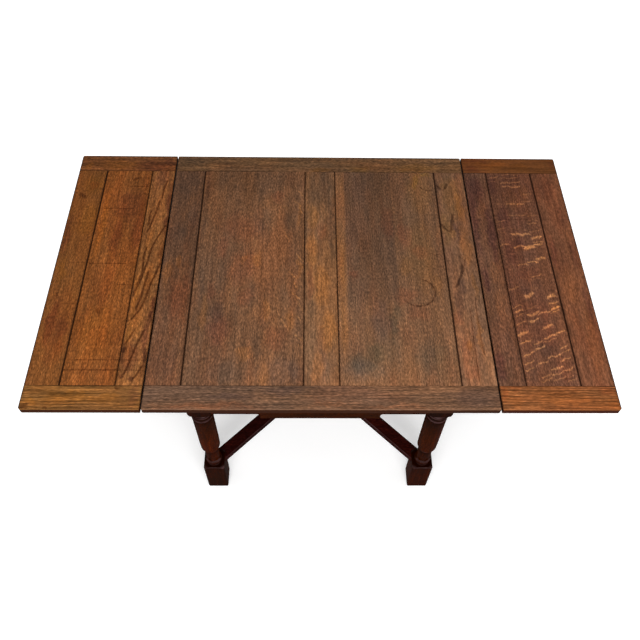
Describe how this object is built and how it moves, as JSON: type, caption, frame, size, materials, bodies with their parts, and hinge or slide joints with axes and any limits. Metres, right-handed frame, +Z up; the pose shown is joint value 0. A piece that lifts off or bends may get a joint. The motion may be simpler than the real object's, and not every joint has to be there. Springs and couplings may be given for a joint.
{
  "type": "draw-leaf table",
  "caption": "Oak dining table with a framed main top, drawn-out leaves on sloping bearers, turned legs and crossed stretchers.",
  "frame": {"origin": "on the floor under the middle of the main top", "axes": "+X to the right along the leaves' travel, +Y to the back, +Z up"},
  "size_m": [1.53, 0.915, 0.76],
  "materials": {
    "top_oak": "satin varnish, worn",
    "left_leaf_oak": "satin varnish, worn",
    "right_leaf_oak": "satin varnish, worn",
    "leg_oak": "dark gloss varnish",
    "stretcher_oak": "dark gloss varnish",
    "apron_oak": "dark satin varnish",
    "inner_oak": "bare wood",
    "bearer_oak": "waxed",
    "peg_oak": "bare wood",
    "steel": "dull"
  },
  "bodies": {
    "frame": {"front_left_leg": "leg_oak", "front_right_leg": "leg_oak", "back_left_leg": "leg_oak", "back_right_leg": "leg_oak", "front_apron": "apron_oak", "back_apron": "apron_oak", "left_end_rail": "apron_oak", "right_end_rail": "apron_oak", "guide_rail": "inner_oak", "centre_board": "inner_oak", "centre_board_screws": "steel", "lower_stretcher": "stretcher_oak", "upper_stretcher": "stretcher_oak", "stretcher_dowel": "peg_oak", "corner_braces": "inner_oak", "corner_brace_screws": "steel"},
    "top": {"top_front_rail": "top_oak", "top_back_rail": "top_oak", "top_left_stile": "top_oak", "top_right_stile": "top_oak", "top_muntin": "top_oak", "top_left_panel": "top_oak", "top_right_panel": "top_oak", "top_pegs": "peg_oak"},
    "left_leaf": {"left_leaf_front_rail": "left_leaf_oak", "left_leaf_back_rail": "left_leaf_oak", "left_leaf_inner_stile": "left_leaf_oak", "left_leaf_outer_stile": "left_leaf_oak", "left_leaf_panel": "left_leaf_oak", "left_leaf_front_bearer": "bearer_oak", "left_leaf_back_bearer": "bearer_oak", "left_leaf_screws": "steel", "left_leaf_stop_pins": "steel"},
    "right_leaf": {"right_leaf_front_rail": "right_leaf_oak", "right_leaf_back_rail": "right_leaf_oak", "right_leaf_inner_stile": "right_leaf_oak", "right_leaf_outer_stile": "right_leaf_oak", "right_leaf_panel": "right_leaf_oak", "right_leaf_front_bearer": "bearer_oak", "right_leaf_back_bearer": "bearer_oak", "right_leaf_screws": "steel", "right_leaf_stop_pins": "steel"}
  },
  "joints": [
    {"name": "top_lift", "type": "slide", "parent": "frame", "child": "top", "axis": [0, 0, 1], "range_m": [0, 0.045]},
    {"name": "left_leaf_draw", "type": "slide", "parent": "frame", "child": "left_leaf", "axis": [-0.9979, 0, 0.0643], "range_m": [-0.0022, 0.0055]},
    {"name": "right_leaf_draw", "type": "slide", "parent": "frame", "child": "right_leaf", "axis": [0.9979, 0, 0.0643], "range_m": [-0.0022, 0.0055]}
  ]
}
